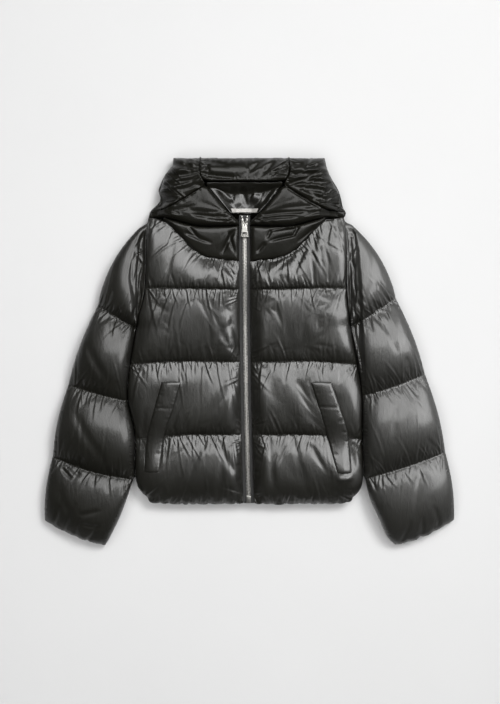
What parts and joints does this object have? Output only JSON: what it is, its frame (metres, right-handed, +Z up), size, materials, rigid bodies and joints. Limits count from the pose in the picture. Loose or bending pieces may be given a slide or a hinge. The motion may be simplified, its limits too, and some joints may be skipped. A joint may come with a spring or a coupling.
{
  "type": "hooded puffer jacket laid flat",
  "caption": "Short quilted puffer jacket with a folded hood, metal front zip and slanted welt pockets, zipped up and laid flat on its back.",
  "frame": {"origin": "centre of the footprint, on the surface the jacket rests on", "axes": "+Y towards the hood, +X towards the wearer's left sleeve, +Z up through the fronts"},
  "size_m": [0.824, 0.7781, 0.0834],
  "materials": {
    "nylon": "glossy coated nylon",
    "inside": "glossy nylon lining",
    "tape": "woven twill tape",
    "steel": "polished",
    "label": "matt woven"
  },
  "bodies": {
    "jacket": {"back": "nylon", "front_right": "nylon", "front_left": "nylon", "sleeve_right": "nylon", "sleeve_left": "nylon", "pocket_welt_right": "nylon", "pocket_welt_left": "nylon", "collar_right": "nylon", "collar_left": "nylon", "hood_wing_right": "nylon", "hood_wing_left": "nylon", "hood_side_right": "nylon", "hood_side_left": "nylon", "hood_crown": "nylon", "hood_back": "nylon", "hood_inside": "inside", "zip_tape_right": "tape", "zip_tape_left": "tape", "zip_chain": "steel", "zip_slider": "steel", "zip_bottom_stop": "steel", "zip_top_stop_right": "steel", "zip_top_stop_left": "steel", "neck_label": "label"},
    "puller": {"zip_puller": "steel"}
  },
  "joints": [
    {"name": "puller_hinge", "type": "hinge", "parent": "jacket", "child": "puller", "pos_m": [-0.0098, 0.254, 0.0549], "axis": [-1, 0, 0], "range_deg": [0, 165]}
  ]
}
